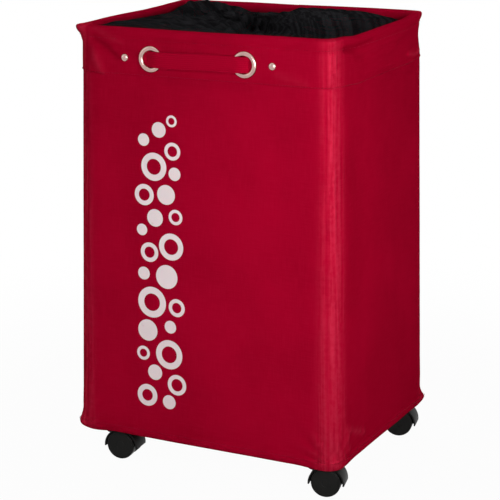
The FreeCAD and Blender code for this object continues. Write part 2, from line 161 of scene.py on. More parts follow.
class Nodes:
    def __init__(self, tree):
        self.tree = tree

    # One node: its settings first, then what goes into its sockets.
    def add(self, kind, settings=None, inputs=None, out=0):
        node = self.tree.nodes.new(kind)
        for key, value in (settings or {}).items():
            setattr(node, key, value)
        for key, value in (inputs or {}).items():
            if isinstance(value, Signal):
                self.tree.links.new(value.socket, node.inputs[key])
            else:
                node.inputs[key].default_value = value
        return Signal(self, node.outputs[out])

    def maths(self, operation, first, second=0.0):
        return self.add("ShaderNodeMath", {"operation": operation}, {0: first, 1: second})

    def larger(self, first, second):
        return self.maths("MAXIMUM", first, second)

    # 1 for what the camera, metal and glass see, 0 for the light on the object
    def seen(self):
        rays = self.add("ShaderNodeLightPath").socket.node.outputs
        straight, mirrored, through = (
            Signal(self, rays[kind]) for kind in ("Is Camera Ray", "Is Glossy Ray", "Is Transmission Ray")
        )
        return self.larger(self.larger(straight, mirrored), through)


class Paint(Nodes):
    def __init__(self, name, **plain):
        self.material = bpy.data.materials.new(name)
        self.material.use_nodes = True
        super().__init__(self.material.node_tree)
        self.shader = self.tree.nodes["Principled BSDF"]
        for socket, value in plain.items():
            self.shader.inputs[socketTitles[socket]].default_value = value

    def place(self):
        return self.add("ShaderNodeTexCoord", out="Object")

    def flat(self):
        return self.add("ShaderNodeUVMap", {"uv_map": "flat"})

    def split(self, vector):
        parts = self.add("ShaderNodeSeparateXYZ", None, {0: vector}).socket.node.outputs
        return [Signal(self, part) for part in parts]

    def join(self, x, y):
        return self.add("ShaderNodeCombineXYZ", None, {0: x, 1: y})

    def stretch(self, vector, scale):
        return self.add("ShaderNodeVectorMath", {"operation": "MULTIPLY"}, {0: vector, 1: scale})

    def grain(self, vector, scale, detail=2.0, roughness=0.5):
        return self.add(
            "ShaderNodeTexNoise", None,
            {"Vector": vector, "Scale": scale, "Detail": detail, "Roughness": roughness},
        )

    def sine(self, value):
        return self.maths("SINE", value)

    # 0 below low, 1 above high, smooth between
    def fade(self, value, low, high):
        return self.add(
            "ShaderNodeMapRange", {"interpolation_type": "SMOOTHSTEP"},
            {"Value": value, "From Min": low, "From Max": high},
        )

    def blend(self, factor, first, second):
        return self.add("ShaderNodeMix", {"data_type": "RGBA"}, {0: factor, 6: first, 7: second}, out=2)

    def dent(self, height, distance, strength):
        return self.add(
            "ShaderNodeBump", None, {"Height": height, "Distance": distance, "Strength": strength}
        )

    def finish(self, **signals):
        for socket, signal in signals.items():
            self.tree.links.new(signal.socket, self.shader.inputs[socketTitles[socket]])
        return self.material


socketTitles = {
    "colour": "Base Color", "roughness": "Roughness", "metallic": "Metallic", "alpha": "Alpha",
    "normal": "Normal", "specular": "Specular IOR Level", "specularTint": "Specular Tint",
}


def rgb(red, green, blue):
    return (red, green, blue, 1)


cloth = {
    "red": rgb(0.37, 0.0006, 0.0200),
    "deepRed": rgb(0.32, 0.0004, 0.0165),
    "wornRed": rgb(0.43, 0.0060, 0.0300),
    # painted highlight colour, laid on the corners and on the raised creases
    "paintedHighlightRed": rgb(0.44, 0.0150, 0.0430),
    # painted shade colour for the hollow creases
    "paintedShadeRed": rgb(0.23, 0.0003, 0.0115),
    "threadPitch": 0.0011,
    "sleeveSeams": ((-0.0082, 0.0040), (0.0125, 0.0030)),   # from the corner's middle, and width
    "inkEdge": 0.0003,
    "printWhite": rgb(0.94, 0.83, 0.845),
    "rubbedTop": (0.597, 0.606),        # heights between which the rim is worn
    # the corners, where the cloth is drawn over the poles, are glossier and carry a painted highlight
    "rubbedRidge": 0.0525,              # height of the worn line over the base
    "drawnX": (0.157, 0.185),           # between these it comes to be drawn over the poles
    "drawnY": (0.117, 0.145),
    "ribPitch": 0.0013, "zigzagPitch": 0.0021, "webEdge": (0.0088, 0.0102),
    "netPitch": 0.00125,
}

# Soap bubbles that rise up the front: (across, height, radius, ring width), 0 for a filled one.
bubbles = [
    (-0.086, 0.106, 0.0155, 0.0075), (-0.052, 0.101, 0.010, 0), (-0.040, 0.127, 0.0145, 0.006),
    (-0.074, 0.140, 0.011, 0), (-0.092, 0.165, 0.010, 0.0045), (-0.052, 0.168, 0.0205, 0.009),
    (-0.085, 0.198, 0.015, 0), (-0.050, 0.207, 0.009, 0), (-0.040, 0.235, 0.0125, 0.0055),
    (-0.078, 0.238, 0.0215, 0.0095), (-0.090, 0.277, 0.009, 0), (-0.055, 0.276, 0.0165, 0),
    (-0.081, 0.307, 0.0135, 0.006), (-0.048, 0.318, 0.0185, 0.008), (-0.092, 0.337, 0.008, 0),
    (-0.072, 0.355, 0.012, 0), (-0.041, 0.359, 0.0105, 0.0045), (-0.088, 0.385, 0.0145, 0.0065),
    (-0.055, 0.388, 0.0135, 0), (-0.042, 0.417, 0.009, 0), (-0.073, 0.424, 0.0190, 0.0085),
    (-0.045, 0.447, 0.012, 0.005), (-0.088, 0.459, 0.0085, 0), (-0.065, 0.474, 0.0105, 0),
    (-0.046, 0.487, 0.008, 0.0035),
]


def makeRedCloth(name, printed=False):
    paint = Paint(name, specular=0.0, specularTint=rgb(1.0, 0.10, 0.18))
    place = paint.place()
    across, along, _ = paint.split(paint.flat())
    x, y, z = paint.split(place)
    turns = math.pi / cloth["threadPitch"]
    weave = paint.sine(across * turns) * paint.sine(along * turns)
    slub = paint.grain(paint.join(across * 900, along * 40), 1.0, 3)
    weftSlub = paint.grain(paint.join(across * 40, along * 900), 1.0, 3)
    broad = paint.grain(place, 9.0, 3)
    rubbed = paint.grain(place, 60.0, 4)
    threads = slub * 0.5 + weftSlub * 0.5
    worn = paint.fade(rubbed, 0.55, 0.75) * 0.35
    tone = paint.blend(paint.fade(broad, 0.3, 0.7), cloth["deepRed"], cloth["red"])
    tone = paint.blend(paint.fade(threads, 0.42, 0.62) * 0.35, tone, cloth["wornRed"])
    nearTop = paint.fade(z, *cloth["rubbedTop"])
    nearRidge = 1 - paint.fade(abs(z - cloth["rubbedRidge"]), 0.001, 0.006)
    tone = paint.blend(worn * paint.larger(nearTop, nearRidge), tone, cloth["wornRed"])
    # long soft ridges up the cloth, strongest where it is drawn over the poles
    drawn = paint.fade(abs(x), *cloth["drawnX"]) * paint.fade(abs(y), *cloth["drawnY"])
    ridges = paint.fade(paint.grain(paint.join(across * 300, along * 9), 1.0, 3), 0.34, 0.66)
    blotches = paint.fade(paint.grain(place, 150.0, 3), 0.36, 0.64)
    # a painted highlight on the corners, streaked by the ridges and blotches; the same mask also makes the cloth
    # glossier and more metallic there
    shine = drawn * (0.10 + 0.60 * ridges + 0.35 * blotches)
    # two lines of the sleeve's seams show through beside each corner
    seams = None
    for turn in cornerMiddles:
        for offset, wide in cloth["sleeveSeams"]:
            line = 1 - paint.fade(abs(across - (turn + offset)), 0.0, wide)
            seams = paint.larger(seams, line) if seams else line
    # lays the corners' painted highlight, broken along the sleeve seams
    tone = paint.blend(shine * (1 - 0.6 * seams), tone, cloth["paintedHighlightRed"])
    # painted highlight on the raised creases and painted shade in the hollow ones, from the crease marks laid with
    # the cloth
    crease = paint.add("ShaderNodeAttribute", {"attribute_name": "crease"}, out=2)
    tone = paint.blend(paint.larger(crease, 0.0) * (0.45 + 0.35 * blotches), tone, cloth["paintedHighlightRed"])
    tone = paint.blend(paint.larger(0 - crease, 0.0) * 0.55, tone, cloth["paintedShadeRed"])
    rough = 0.40 + 0.10 * broad + 0.08 * threads - 0.12 * shine
    satin = 0.03 + 0.05 * threads + 0.20 * shine * (1 - 0.7 * seams)
    height = weave * 0.5 + threads * 1.2 + ridges * (0.4 + 5.0 * drawn)
    height = height + blotches * 3.0 * drawn - seams * 2.6 * drawn
    if printed:
        ink = None
        for bubbleX, bubbleZ, radius, ring in bubbles:
            away = paint.add(
                "ShaderNodeVectorMath", {"operation": "DISTANCE"},
                {0: paint.join(x, z), 1: (bubbleX, bubbleZ, 0)}, out=1,
            )
            edge = ring / 2 or radius
            if ring:
                away = abs(away - (radius - edge))
            spot = 1 - paint.fade(away, edge - cloth["inkEdge"], edge)
            ink = paint.larger(ink, spot) if ink else spot
        ink = ink * (y < -0.12)
        cover = ink * (1 - paint.fade(rubbed, 0.66, 0.8) * 0.25) * (0.93 + 0.07 * weave)
        tone = paint.blend(cover, tone, cloth["printWhite"])
        rough = rough + 0.12 * ink
        satin = satin * (1 - ink)
        height = height * (1 - 0.45 * ink) + ink * 0.6
    dent = paint.dent(height, 0.00012, 0.7)
    return paint.finish(colour=tone, roughness=rough, metallic=satin, normal=dent)


def makeWebbing(name):
    paint = Paint(name, specular=0.02, specularTint=rgb(1.0, 0.10, 0.18), metallic=0.22)
    across, along, _ = paint.split(paint.flat())
    rib = paint.sine(along * (math.pi / cloth["ribPitch"]))
    zigzag = paint.sine((across + along * 0.8) * (math.pi / cloth["zigzagPitch"]))
    fuzz = paint.grain(paint.join(across * 500, along * 500), 1.0, 3)
    edge = paint.fade(abs(along), *cloth["webEdge"])
    tone = paint.blend(fuzz, cloth["deepRed"], cloth["red"])
    tone = paint.blend(paint.fade(rib, -0.2, 0.9) * 0.35, tone, cloth["wornRed"])
    height = rib * 0.5 + zigzag * 0.25 + fuzz * 0.4 + edge * 0.4
    return paint.finish(colour=tone, roughness=0.5 + 0.15 * fuzz, normal=paint.dent(height, 0.00025, 0.8))


def makeNetCloth(name):
    paint = Paint(name, specular=0.0)
    across, along, _ = paint.split(paint.flat())
    turns = math.pi / cloth["netPitch"]
    hole = abs(paint.sine((across + along * 0.5) * turns)) * abs(paint.sine((across - along * 0.5) * turns))
    clump = paint.grain(paint.place(), 120.0, 3)
    gathers = paint.grain(paint.join(across * 75, along * 7), 1.0, 3)
    threads = 1 - paint.fade(hole, 0.80, 0.96)
    lit = 0.25 * clump + 0.75 * paint.fade(gathers, 0.34, 0.66)
    tone = paint.blend(lit, rgb(0.0072, 0.0070, 0.0077), rgb(0.0300, 0.0290, 0.0320))
    height = (1 - hole) * 1.0 + clump * 0.5
    return paint.finish(
        colour=tone, roughness=0.55 + 0.2 * clump, alpha=threads, normal=paint.dent(height, 0.0003, 0.8)
    )


def makeChrome(name):
    paint = Paint(name, metallic=1.0)
    place = paint.place()
    haze = paint.grain(place, 180.0, 3)
    scratch = paint.grain(paint.stretch(place, (400, 400, 2200)), 1.0, 2)
    tone = paint.blend(haze, rgb(0.45, 0.275, 0.255), rgb(0.58, 0.375, 0.345))
    rough = 0.17 + 0.08 * haze + 0.05 * paint.fade(scratch, 0.55, 0.75)
    dent = paint.dent(haze * 0.5 + scratch * 0.2, 0.00002, 0.4)
    return paint.finish(colour=tone, roughness=rough, normal=dent)


def makeZinc(name):
    paint = Paint(name, metallic=1.0)
    place = paint.place()
    spangle = paint.add("ShaderNodeTexVoronoi", None, {"Vector": place, "Scale": 420.0})
    haze = paint.grain(place, 90.0, 4)
    tone = paint.blend(spangle, rgb(0.42, 0.43, 0.45), rgb(0.62, 0.62, 0.61))
    rough = 0.28 + 0.20 * haze + 0.10 * spangle
    return paint.finish(colour=tone, roughness=rough, normal=paint.dent(haze, 0.00008, 0.6))


def makePlastic(name, dark, light, gloss):
    paint = Paint(name, specular=0.07)
    place = paint.place()
    grit = paint.grain(place, 1400.0, 2)
    smear = paint.grain(place, 45.0, 4)
    scuff = paint.fade(paint.grain(paint.stretch(place, (900, 120, 900)), 1.0, 3), 0.60, 0.74)
    tone = paint.blend(smear, dark, light)
    tone = paint.blend(scuff * 0.30, tone, rgb(light[0] * 2.2, light[1] * 2.2, light[2] * 2.2))
    rough = gloss + 0.16 * smear + 0.10 * scuff
    dent = paint.dent(grit * 0.6 + scuff * 0.3, 0.00010, 0.45)
    return paint.finish(colour=tone, roughness=rough, normal=dent)


def makeCoatedSteel(name):
    paint = Paint(name, specular=0.5)
    place = paint.place()
    peel = paint.grain(place, 700.0, 2)
    haze = paint.grain(place, 30.0, 4)
    tone = paint.blend(haze, rgb(0.30, 0.30, 0.31), rgb(0.38, 0.38, 0.39))
    return paint.finish(colour=tone, roughness=0.32 + 0.18 * haze, normal=paint.dent(peel, 0.00010, 0.5))


def makeFibreBoard(name):
    paint = Paint(name, specular=0.25)
    place = paint.place()
    fibre = paint.grain(paint.stretch(place, (260, 900, 900)), 1.0, 5, 0.65)
    patch = paint.grain(place, 26.0, 5)
    tone = paint.blend(fibre, rgb(0.13, 0.075, 0.040), rgb(0.33, 0.215, 0.125))
    tone = paint.blend(paint.fade(patch, 0.4, 0.7) * 0.4, tone, rgb(0.20, 0.12, 0.065))
    return paint.finish(colour=tone, roughness=0.62 + 0.2 * fibre, normal=paint.dent(fibre, 0.00020, 0.6))


def makeThread(name):
    paint = Paint(name, specular=0.05, specularTint=rgb(1.0, 0.10, 0.18), metallic=0.12)
    place = paint.place()
    twist = paint.sine(paint.grain(place, 900.0, 2) * 18)
    tone = paint.blend(paint.fade(twist, -0.6, 0.8), rgb(0.21, 0.001, 0.012), rgb(0.35, 0.007, 0.028))
    return paint.finish(colour=tone, roughness=0.55 + 0.1 * twist, normal=paint.dent(twist, 0.00008, 0.6))


redCloth = makeRedCloth("redPolyester")
printedCloth = makeRedCloth("printedPolyester", printed=True)
webbing = makeWebbing("redWebbing")
netCloth = makeNetCloth("blackNet")
chrome = makeChrome("polishedChrome")
zinc = makeZinc("zincPlatedSteel")
hoodPlastic = makePlastic("hoodPlastic", rgb(0.0070, 0.0070, 0.0066), rgb(0.0115, 0.0112, 0.0105), 0.34)
wheelPlastic = makePlastic("wheelPlastic", rgb(0.0085, 0.0085, 0.0080), rgb(0.0130, 0.0128, 0.0120), 0.30)
cornerPlastic = makePlastic("cornerPlastic", rgb(0.015, 0.015, 0.015), rgb(0.026, 0.026, 0.026), 0.42)
coatedSteel = makeCoatedSteel("coatedSteelTube")
fibreBoard = makeFibreBoard("fibreBoard")
redThread = makeThread("redThread")
print("materials made")


def deselectAll():
    if bpy.context.mode != "OBJECT":
        bpy.ops.object.mode_set(mode="OBJECT")
    bpy.ops.object.select_all(action="DESELECT")


def workOn(piece, mode="OBJECT"):
    deselectAll()
    piece.select_set(True)
    bpy.context.view_layer.objects.active = piece
    bpy.ops.object.mode_set(mode=mode)


def newest(name):
    piece = bpy.context.object
    piece.name = name
    piece.data.name = name
    return piece


# Selects the verts, edges or faces that pass the test, in edit mode.
def pick(piece, kind, test):
    bpy.ops.mesh.select_all(action="DESELECT")
    bpy.context.tool_settings.mesh_select_mode = (kind == "verts", kind == "edges", kind == "faces")
    mesh = bmesh.from_edit_mesh(piece.data)
    for part in getattr(mesh, kind):
        if test(part):
            part.select_set(True)
    mesh.select_flush_mode()
    bmesh.update_edit_mesh(piece.data)


# Cuts off what lies below a height and stays in edit mode.
def cutBelow(piece, z, fill=False):
    workOn(piece, "EDIT")
    pick(piece, "faces", lambda face: True)
    bpy.ops.mesh.bisect(plane_co=(0, 0, z), plane_no=(0, 0, -1), clear_outer=True, use_fill=fill)


def faceOut(piece):
    pick(piece, "faces", lambda face: True)
    bpy.ops.mesh.normals_make_consistent(inside=False)


def turnOver(piece):
    workOn(piece, "EDIT")
    bpy.ops.mesh.select_all(action="SELECT")
    bpy.ops.mesh.flip_normals()


# Draws out the picked edge step by step: how far up, and how much wider.
def drawOut(steps):
    for move, grow in steps:
        bpy.ops.mesh.extrude_region_move(TRANSFORM_OT_translate={"value": (0, 0, move)})
        bpy.ops.transform.resize(value=(grow, grow, 1), center_override=(0, 0, 0))


def shapeWith(piece, kind, **settings):
    workOn(piece)
    modifier = piece.modifiers.new(kind.lower(), kind)
    for key, value in settings.items():
        setattr(modifier, key, value)
    bpy.ops.object.modifier_apply(modifier=modifier.name)


def roundEdges(piece, width, segments, angle):
    limit = math.radians(angle)
    shapeWith(piece, "BEVEL", width=width, segments=segments, limit_method="ANGLE", angle_limit=limit)


def settle(piece):
    workOn(piece)
    bpy.ops.object.transform_apply(location=True, rotation=True, scale=True)


def joinPieces(pieces, name):
    deselectAll()
    for piece in pieces:
        piece.select_set(True)
    bpy.context.view_layer.objects.active = pieces[0]
    bpy.ops.object.join()
    return newest(name)


def copyPiece(piece, name):
    workOn(piece)
    bpy.ops.object.duplicate()
    return newest(name)


def dress(piece, material, smoothAngle=35):
    workOn(piece)
    piece.data.materials.clear()
    piece.data.materials.append(material)
    if smoothAngle:
        bpy.ops.object.shade_smooth_by_angle(angle=math.radians(smoothAngle))
    else:
        bpy.ops.object.shade_smooth()


def fit(piece, body, slotName, *replaced):
    settle(piece)
    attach(piece, body)
    if replaced:
        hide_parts(*replaced)


def gently(value, low, high):
    share = min(1.0, max(0.0, (value - low) / (high - low)))
    return share * share * (3 - 2 * share)


def hill(value, width):
    return math.exp(-((value / width) ** 2))


def uneven(x, y, z):
    return noise.noise(Vector((x, y, z)))


base = {
    "halfX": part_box("panel_right")[1].x,
    "halfY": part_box("panel_back")[1].y,
    "low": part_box("panel_back")[0].z,
    "under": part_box("base_cover")[0].z,
    "boardTop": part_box("base_board")[1].z,
    "turnIn": 0.012,      # how far in the roll reaches over the under cloth
    "earZ": 0.0490,       # where the board's corners press on the cloth
    "columns": 110,
    "rows": 86,
    "ears": {"front_left": 0.50, "back_left": 0.50, "back_right": 0.80, "front_right": 0.22},
}
skinInset = 0.0006
ease = {
    "topX": 0.0002, "topY": 0.0022, "baseX": 0.0045, "baseY": 0.0008,
    "tilt": 0.0046, "backTilt": 0.0012, "sideSag": 0.0044, "leftRise": 0.0018,
}


# The frame's outline at a height, and how far the cloth hangs clear of it.
def frameHalf(z):
    down = (rim["top"] - z) / (rim["top"] - base["low"])
    topX, topY = rim["halfX"] - skinInset, rim["halfY"] - skinInset
    return topX + (base["halfX"] - topX) * down, topY + (base["halfY"] - topY) * down


def wallHalf(z):
    down = (rim["top"] - z) / (rim["top"] - base["low"])
    halfX, halfY = frameHalf(z)
    low = min(1.0, max(0.0, down))
    return (
        halfX + ease["topX"] + (ease["baseX"] - ease["topX"]) * low,
        halfY + ease["topY"] + (ease["baseY"] - ease["topY"]) * low,
    )


# The rim stands a little higher at its right end and at the front of its left side, and sags
# between the two corners on the right.
def rimLift(x, y):
    share = 0.5 + 0.5 * x / rim["halfX"]
    lift = (ease["tilt"] + ease["backTilt"] * (0.5 + 0.5 * y / rim["halfY"])) * max(0.0, share) ** 1.2
    lift += ease["leftRise"] * gently(-x, 0.160, 0.182) * gently(-y, -0.03, 0.09)
    between = gently(y, -0.125, -0.070) * (1 - gently(y, 0.085, 0.135))
    return lift - ease["sideSag"] * gently(x, 0.150, 0.178) * between


# The outline's stretches anticlockwise from above, from the middle of the back: name, length.
stretches = [
    ("back", wideRun / 2), ("back_left", arcLength), ("left", deepRun), ("front_left", arcLength),
    ("front", wideRun), ("front_right", arcLength), ("right", deepRun), ("back_right", arcLength),
    ("back", wideRun / 2),
]
girth = sum(length for _, length in stretches)
sideNormals = {"front": (0, -1), "right": (1, 0), "back": (0, 1), "left": (-1, 0)}
cornerTurns = {"back_right": 0, "back_left": 90, "front_left": 180, "front_right": 270}


# Where a distance round the outline comes to.
class Spot:
    def outward(self, out, z):
        return Vector((self.x + self.normal[0] * out, self.y + self.normal[1] * out, z))


def spotAt(u, half):
    spot = Spot()
    radius = rim["corner"]
    left = u % girth
    for index, (name, length) in enumerate(stretches):
        if left <= length or index == len(stretches) - 1:
            break
        left -= length
    spot.name = name
    flatX, flatY = half[0] - radius, half[1] - radius
    if name in sideNormals:
        normal = sideNormals[name]
        if index == 0:
            share = 0.5 + 0.5 * left / length
        elif name == "back":
            share = 0.5 * left / length
        else:
            share = left / length
        run = flatX if normal[0] == 0 else flatY
        spot.along = (2 * share - 1) * run
        tangent = (-normal[1], normal[0])
        reach = half[1] if normal[0] == 0 else half[0]
        spot.x = normal[0] * reach + tangent[0] * spot.along
        spot.y = normal[1] * reach + tangent[1] * spot.along
        spot.normal = normal
        order = ["front", "front_right", "right", "back_right", "back", "back_left", "left", "front_left"]
        place = order.index(name)
        spot.corner = order[(place + 1) % 8] if spot.along > 0 else order[place - 1]
        spot.away = math.copysign(run - abs(spot.along) + arcLength / 2, -spot.along)
    else:
        angle = math.radians(cornerTurns[name] + 90 * left / length)
        centreX = flatX if "right" in name else -flatX
        centreY = flatY if "back" in name else -flatY
        spot.normal = (math.cos(angle), math.sin(angle))
        spot.x = centreX + radius * spot.normal[0]
        spot.y = centreY + radius * spot.normal[1]
        spot.along = 0.0
        spot.corner = name
        spot.away = left - length / 2
    return spot


# Cuts a sheet flat. Its far end may be narrowed by gores.
def cutCloth(name, width, length, shape, narrowed=0.0):
    deselectAll()
    bpy.ops.mesh.primitive_grid_add(x_subdivisions=shape["columns"], y_subdivisions=shape["rows"], size=1)
    piece = newest(name)
    piece.scale = (width, length, 1)
    settle(piece)
    piece.data.uv_layers[0].name = "flat"
    for corner in piece.data.uv_layers["flat"].data:
        across, along = corner.uv
        corner.uv = (across * width * (1 - narrowed * along), along * length)
    return piece


seamGap = 0.00002    # points closer than this are sewn into one


# Lays the flat cloth where place says, from its distance across and along. The material paints
# a highlight on the raised creases and painted shade in the hollow ones.
def layCloth(piece, width, length, place, closed=False, creased=None):
    if creased:
        marks = piece.data.attributes.new("crease", "FLOAT", "POINT")
        for vertex in piece.data.vertices:
            marks.data[vertex.index].value = creased(vertex.co.x + width / 2, vertex.co.y + length / 2)
    for vertex in piece.data.vertices:
        vertex.co = place(vertex.co.x + width / 2, vertex.co.y + length / 2)
    if closed:
        workOn(piece, "EDIT")
        bpy.ops.mesh.select_all(action="SELECT")
        bpy.ops.mesh.remove_doubles(threshold=seamGap)
        bpy.ops.mesh.normals_make_consistent(inside=False)
    deselectAll()


# A sheet of the bag, from the flat cut to the finished piece.
def makeSheet(
    name, flat, shape, place, material, slotName, *replaced, closed=True, creased=None, narrowed=0.0
):
    piece = cutCloth(name, *flat, shape, narrowed)
    layCloth(piece, *flat, place, closed, creased)
    shapeWith(piece, "SUBSURF", levels=1, render_levels=1)
    dress(piece, material, None)
    fit(piece, "bag", slotName, *replaced)
    return piece


folds = {
    "sag": 0.0022,        # how far a panel's middle hangs in
    "broad": 0.0016,
    "streak": 0.0003,
    "pucker": 0.00055,
    "fan": 0.0012,
    "puff": 0.0017,       # how far the corners stand out, drawn over their poles
    "slackLow": 0.540,    # the band's slack waves lie between these heights
    "slackHigh": 0.597,
    "seam": 0.547,        # the band's seam, with gathers under it
    "drawnIn": 0.573,     # where the back right corner goes in under the rim
    # from and to, as distance along the side and height, then half width and depth
    "creases": {
        "front": [
            ((-0.178, 0.600), (-0.126, 0.566), 0.0050, -0.0036),
            ((-0.176, 0.590), (-0.146, 0.548), 0.0060, 0.0030),
            ((-0.160, 0.602), (-0.116, 0.583), 0.0045, 0.0018),
            ((-0.130, 0.580), (-0.096, 0.572), 0.0050, -0.0012),
            ((0.112, 0.588), (0.158, 0.601), 0.0045, -0.0014),
            ((0.104, 0.560), (0.150, 0.552), 0.0060, 0.0010),
            ((-0.070, 0.590), (0.060, 0.587), 0.0050, -0.0010),
            ((-0.060, 0.541), (0.070, 0.536), 0.0070, -0.0012),
        ],
        "right": [
            ((0.090, 0.5600), (0.112, 0.5555), 0.0032, 0.0036),
            ((0.112, 0.5555), (0.136, 0.5600), 0.0032, 0.0036),
            ((-0.128, 0.096), (-0.062, 0.070), 0.0036, 0.0046),
            ((-0.126, 0.092), (-0.118, 0.060), 0.0036, 0.0030),
            ((-0.118, 0.592), (-0.060, 0.574), 0.0055, -0.0014),
            ((-0.132, 0.588), (-0.030, 0.593), 0.0045, -0.0042),
            ((0.118, 0.590), (0.050, 0.574), 0.0065, -0.0014),
            ((0.020, 0.540), (0.110, 0.530), 0.0080, -0.0012),
        ],
        "left": [
            ((-0.112, 0.592), (-0.060, 0.560), 0.0055, -0.0018),
            ((0.114, 0.590), (0.074, 0.560), 0.0055, -0.0016),
            ((0.060, 0.090), (0.112, 0.072), 0.0045, 0.0018),
        ],
        "back": [
            ((0.174, 0.598), (0.124, 0.566), 0.0055, -0.0022),
            ((-0.172, 0.594), (-0.130, 0.568), 0.0055, -0.0018),
            ((-0.060, 0.086), (0.030, 0.078), 0.0065, -0.0012),
        ],
    },
}


def creaseDepth(name, along, z):
    depth = 0.0
    for start, end, width, height in folds["creases"].get(name, ()):
        runX, runZ = end[0] - start[0], end[1] - start[1]
        share = ((along - start[0]) * runX + (z - start[1]) * runZ) / (runX ** 2 + runZ ** 2)
        share = min(1.0, max(0.0, share))
        gap = math.hypot(along - start[0] - share * runX, z - start[1] - share * runZ)
        depth += height * hill(gap, width * (0.55 + 0.9 * share * (1 - share) * 2))
    return depth


# Folds that fan out of the lower corners.
def fanDepth(spot, z):
    rise, away = z - base["boardTop"], abs(spot.away)
    angle = math.atan2(rise, away + 0.004)
    distance = math.hypot(rise, away)
    wander = 1.2 * uneven(distance * 30, angle * 2, cornerNames.index(spot.corner) * 5.0)
    fan = folds["fan"] * (2.8 if spot.corner == "front_right" else 1.2)
    return fan * math.cos(angle * 15 + wander) * hill(distance - 0.010, 0.030) * gently(rise, 0, 0.008)


# How strongly the cloth is creased at a place: above 0 on a ridge, below 0 in a hollow.
def creaseMark(u, z):
    spot = spotAt(u, wallHalf(z))
    mark = creaseDepth(spot.name, spot.along, z) / 0.0040 + fanDepth(spot, z) / 0.0045
    return min(1.0, max(-1.0, mark))


# How far the cloth stands out of its plain outline.
def foldDepth(spot, u, z):
    tall = (z - base["boardTop"]) / (rim["hemLow"] - base["boardTop"])
    tall = min(1.0, max(0.0, tall))
    away = abs(spot.away)
    inPanel = gently(away, 0.022, 0.085)
    depth = -folds["sag"] * inPanel * math.sin(math.pi * tall) ** 0.7
    broad = uneven(spot.normal[0] * 3 + spot.x * 9, spot.normal[1] * 3 + spot.y * 9, z * 4.2)
    depth += folds["broad"] * broad * inPanel * gently(tall, 0, 0.08) * gently(1 - tall, 0, 0.06)
    depth += folds["streak"] * uneven(spot.x * 70, spot.y * 70, z * 9) * (0.4 + 0.6 * inPanel)
    depth += folds["puff"] * (1 - gently(away, 0.014, 0.080))
    # soft ridges and little tucks where the corner is drawn round its pole
    turned = spot.away if spot.corner != "back_left" else -spot.away
    depth += 0.00055 * hill(turned + 0.0010, 0.0030) + 0.00035 * hill(turned + 0.0155, 0.0020)
    beside = hill(away - 0.024, 0.014)
    depth += folds["pucker"] * beside * uneven(spot.away * 24, z * 95, 3.1)
    depth += 0.0005 * hill(away - 0.0285, 0.0022)
    depth += fanDepth(spot, z)
    if spot.corner == "back_right":
        depth -= 0.0026 * hill(z - folds["drawnIn"], 0.016) * (1 - gently(away, 0.018, 0.060))
    # slack in the band lies in long level waves
    low, high = folds["slackLow"], folds["slackHigh"]
    if z > low:
        level = uneven(u * 7, z * 105, 5.2) + 0.6 * uneven(u * 16, z * 190, 1.7)
        depth += 0.0012 * level * inPanel * gently(z, low, low + 0.016) * gently(high - z, 0, 0.008)
    below = folds["seam"] - z
    if below > 0:
        gather = uneven(u * 110, below * 20, 7.7)
        depth += 0.00055 * gather * math.exp(-below / 0.022)
    return depth + creaseDepth(spot.name, spot.along, z)


# How far a rounded corner is from a square one, along the corner's own normal.
def earShape(spot, radius):
    angle = abs(spot.away) / arcLength * math.pi / 2
    if angle >= math.pi / 4:
        return 0.0
    return radius * (1 / math.cos(math.pi / 4 - angle) - 1)


# The board's square corners push the cloth out a little.
def baseEar(spot, z):
    reach = earShape(spot, rim["corner"]) + 0.0030 * hill(spot.away, 0.008)
    above = z - base["earZ"]
    return base["ears"][spot.corner] * reach * hill(above, 0.0125 if above > 0 else 0.0100)


wall = {"low": 0.0535, "high": 0.5500, "columns": 256, "rows": 80}


def wallPoint(u, z):
    spot = spotAt(u, wallHalf(z))
    return spot.outward(foldDepth(spot, u, z) + baseEar(spot, z), z)


wallTall = wall["high"] - wall["low"]
bagWall = makeSheet(
    "bagWall", (girth, wallTall), wall, lambda u, v: wallPoint(u, wall["low"] + v), printedCloth,
    "red_cloth", "panel_front", "panel_right", "panel_back", "panel_left",
    creased=lambda u, v: creaseMark(u, wall["low"] + v),
)
print("walls made")


# The band runs up the outside, over the rim's tube, and down the inside.
band = {
    "columns": 250,
    "rows": 56,
    "ears": {"front_left": 1.0, "back_left": 0.95, "back_right": 0.55, "front_right": 0.10},
    "earReach": 0.0256,
    "puckerPitch": 0.0131,
    "deeper": 0.0050,     # how much lower than its profile its lower edge is sewn
}
# how far out of the outline, and height
bandProfile = [
    (0.0002, 0.5462), (0.0007, 0.5467), (0.0008, 0.5485), (0.0008, 0.5520), (0.0008, 0.5700),
    (0.0007, 0.5860), (-0.0006, 0.5893), (0.0000, 0.5915), (0.0007, 0.5945),
]
for step in range(13):
    turn = math.radians(15 * step)
    over = 0.0007 - rim["tube"] * (1 - math.cos(turn))
    bandProfile.append((over, rim["top"] - rim["tube"] + rim["tube"] * math.sin(turn)))
bandProfile += [
    (-0.0106, 0.5945), (-0.0085, 0.5915), (-0.0048, 0.5893), (-0.0034, 0.5860), (-0.0030, 0.5700),
    (-0.0028, 0.5470),
]


def pathLengths(points):
    lengths = [0.0]
    for first, second in zip(points, points[1:]):
        lengths.append(lengths[-1] + math.dist(first, second))
    return lengths


def alongPath(points, lengths, distance):
    for index in range(len(points) - 1):
        if distance <= lengths[index + 1] or index == len(points) - 2:
            span = lengths[index + 1] - lengths[index]
            share = (distance - lengths[index]) / span if span else 0.0
            return [a + (b - a) * share for a, b in zip(points[index], points[index + 1])]


# How far along a profile a height first comes.
def distanceTo(points, lengths, z):
    for index in range(len(points) - 1):
        start, end = points[index][1], points[index + 1][1]
        if min(start, end) <= z <= max(start, end):
            share = (z - start) / (end - start)
            return lengths[index] + share * (lengths[index + 1] - lengths[index])


bandLengths = pathLengths(bandProfile)
bandWide = bandLengths[-1]
overTop = bandLengths[14]     # distance along the profile to the rim's crest


